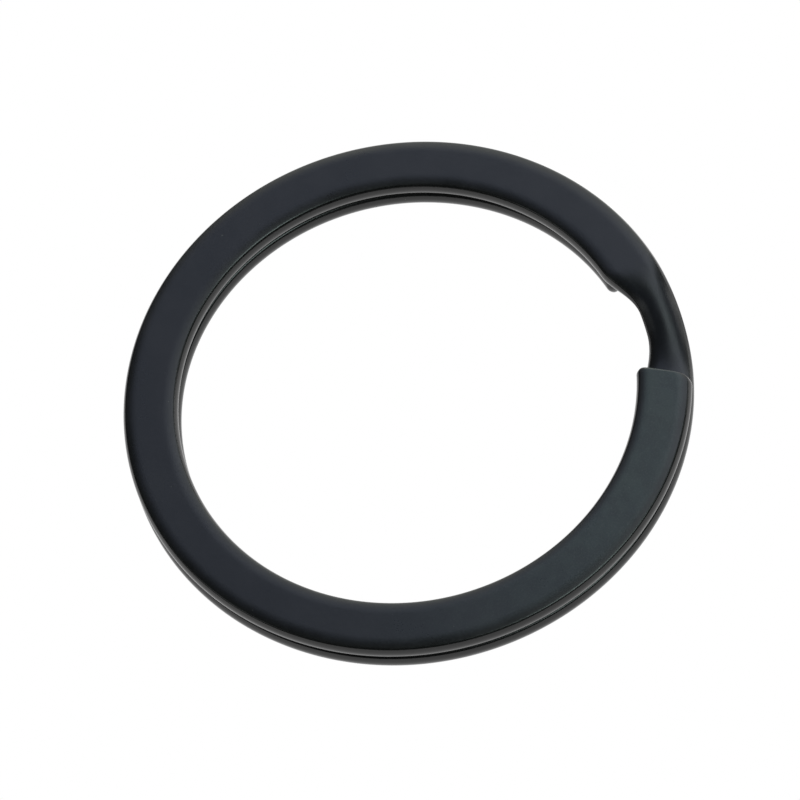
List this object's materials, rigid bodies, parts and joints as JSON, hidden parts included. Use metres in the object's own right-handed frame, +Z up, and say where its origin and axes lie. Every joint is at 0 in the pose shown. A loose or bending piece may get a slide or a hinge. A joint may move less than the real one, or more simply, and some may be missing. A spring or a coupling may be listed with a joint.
{
  "type": "split key ring",
  "caption": "Flat split key ring of black-coated spring steel: one strip wound into two touching turns, whose ends spring apart to take keys.",
  "frame": {"origin": "centre of the ring, on the surface that the ring lies on", "axes": "+Z up through the ring's eye; +X to the middle of the crossover, where the strip steps from the upper turn to the lower one; -Y is the side of the upper free end"},
  "size_m": [0.032, 0.032, 0.0023],
  "materials": {
    "black_coating": "satin black coating, smooth with a faint grain"
  },
  "bodies": {
    "ring_body": {"upper_rear_1": "black_coating", "upper_rear_2": "black_coating", "upper_rear_3": "black_coating", "upper_rear_4": "black_coating", "crossover": "black_coating", "lower_front_1": "black_coating", "lower_front_2": "black_coating", "lower_front_3": "black_coating", "lower_front_4": "black_coating"},
    "upper_front_1": {"upper_front_1": "black_coating"},
    "upper_front_2": {"upper_front_2": "black_coating"},
    "upper_front_3": {"upper_front_3": "black_coating"},
    "upper_front_4": {"upper_front_4": "black_coating"},
    "upper_front_5": {"upper_front_5": "black_coating"},
    "upper_front_6": {"upper_front_6": "black_coating"},
    "upper_front_7": {"upper_front_7": "black_coating"},
    "upper_end": {"upper_end": "black_coating"},
    "lower_rear_1": {"lower_rear_1": "black_coating"},
    "lower_rear_2": {"lower_rear_2": "black_coating"},
    "lower_rear_3": {"lower_rear_3": "black_coating"},
    "lower_rear_4": {"lower_rear_4": "black_coating"},
    "lower_rear_5": {"lower_rear_5": "black_coating"},
    "lower_rear_6": {"lower_rear_6": "black_coating"},
    "lower_rear_7": {"lower_rear_7": "black_coating"},
    "lower_end": {"lower_end": "black_coating"}
  },
  "joints": [
    {"name": "upper_end_lift", "type": "hinge", "parent": "ring_body", "child": "upper_front_1", "pos_m": [-0.01445, 0, 0.00172], "axis": [-0.1132, -0.9936, 0], "range_deg": [0, 1.41], "stiffness_Nm_per_rad": 58},
    {"name": "upper_bend_2", "type": "hinge", "parent": "upper_front_1", "child": "upper_front_2", "pos_m": [-0.0135, -0.00515, 0.00172], "axis": [0.0687, -0.9976, 0], "range_deg": [0, 1.36]},
    {"name": "upper_bend_3", "type": "hinge", "parent": "upper_front_2", "child": "upper_front_3", "pos_m": [-0.01078, -0.00962, 0.00172], "axis": [0.2483, -0.9687, 0], "range_deg": [0, 1.26]},
    {"name": "upper_bend_4", "type": "hinge", "parent": "upper_front_3", "child": "upper_front_4", "pos_m": [-0.00664, -0.01283, 0.00172], "axis": [0.4197, -0.9077, 0], "range_deg": [0, 1.12]},
    {"name": "upper_bend_5", "type": "hinge", "parent": "upper_front_4", "child": "upper_front_5", "pos_m": [-0.00164, -0.01436, 0.00172], "axis": [0.5771, -0.8166, 0], "range_deg": [0, 0.9457]},
    {"name": "upper_bend_6", "type": "hinge", "parent": "upper_front_5", "child": "upper_front_6", "pos_m": [0.00359, -0.014, 0.00172], "axis": [0.7155, -0.6986, 0], "range_deg": [0, 0.7381]},
    {"name": "upper_bend_7", "type": "hinge", "parent": "upper_front_6", "child": "upper_front_7", "pos_m": [0.00834, -0.0118, 0.00172], "axis": [0.8303, -0.5574, 0], "range_deg": [0, 0.5061]},
    {"name": "upper_bend_8", "type": "hinge", "parent": "upper_front_7", "child": "upper_end", "pos_m": [0.012, -0.00805, 0.00172], "axis": [0.9175, -0.3977, 0], "range_deg": [0, 0.2573]},
    {"name": "lower_end_drop", "type": "hinge", "parent": "ring_body", "child": "lower_rear_1", "pos_m": [-0.01445, 0, 0.00056], "axis": [-0.1132, 0.9936, 0], "range_deg": [0, 1.41], "stiffness_Nm_per_rad": 58},
    {"name": "lower_bend_2", "type": "hinge", "parent": "lower_rear_1", "child": "lower_rear_2", "pos_m": [-0.0135, 0.00515, 0.00056], "axis": [0.0687, 0.9976, 0], "range_deg": [0, 1.36]},
    {"name": "lower_bend_3", "type": "hinge", "parent": "lower_rear_2", "child": "lower_rear_3", "pos_m": [-0.01078, 0.00962, 0.00056], "axis": [0.2483, 0.9687, 0], "range_deg": [0, 1.26]},
    {"name": "lower_bend_4", "type": "hinge", "parent": "lower_rear_3", "child": "lower_rear_4", "pos_m": [-0.00664, 0.01283, 0.00056], "axis": [0.4197, 0.9077, 0], "range_deg": [0, 1.12]},
    {"name": "lower_bend_5", "type": "hinge", "parent": "lower_rear_4", "child": "lower_rear_5", "pos_m": [-0.00164, 0.01436, 0.00056], "axis": [0.5771, 0.8166, 0], "range_deg": [0, 0.9457]},
    {"name": "lower_bend_6", "type": "hinge", "parent": "lower_rear_5", "child": "lower_rear_6", "pos_m": [0.00359, 0.014, 0.00056], "axis": [0.7155, 0.6986, 0], "range_deg": [0, 0.7381]},
    {"name": "lower_bend_7", "type": "hinge", "parent": "lower_rear_6", "child": "lower_rear_7", "pos_m": [0.00834, 0.0118, 0.00056], "axis": [0.8303, 0.5574, 0], "range_deg": [0, 0.5061]},
    {"name": "lower_bend_8", "type": "hinge", "parent": "lower_rear_7", "child": "lower_end", "pos_m": [0.012, 0.00805, 0.00056], "axis": [0.9175, 0.3977, 0], "range_deg": [0, 0.2573]}
  ],
  "couplings": [
    {"joint": "upper_bend_2", "follows": "upper_end_lift", "ratio": 0.96281},
    {"joint": "upper_bend_3", "follows": "upper_end_lift", "ratio": 0.89376},
    {"joint": "upper_bend_4", "follows": "upper_end_lift", "ratio": 0.79513},
    {"joint": "upper_bend_5", "follows": "upper_end_lift", "ratio": 0.67019},
    {"joint": "upper_bend_6", "follows": "upper_end_lift", "ratio": 0.52307},
    {"joint": "upper_bend_7", "follows": "upper_end_lift", "ratio": 0.35864},
    {"joint": "upper_bend_8", "follows": "upper_end_lift", "ratio": 0.18233},
    {"joint": "lower_bend_2", "follows": "lower_end_drop", "ratio": 0.96281},
    {"joint": "lower_bend_3", "follows": "lower_end_drop", "ratio": 0.89376},
    {"joint": "lower_bend_4", "follows": "lower_end_drop", "ratio": 0.79513},
    {"joint": "lower_bend_5", "follows": "lower_end_drop", "ratio": 0.67019},
    {"joint": "lower_bend_6", "follows": "lower_end_drop", "ratio": 0.52307},
    {"joint": "lower_bend_7", "follows": "lower_end_drop", "ratio": 0.35864},
    {"joint": "lower_bend_8", "follows": "lower_end_drop", "ratio": 0.18233}
  ]
}
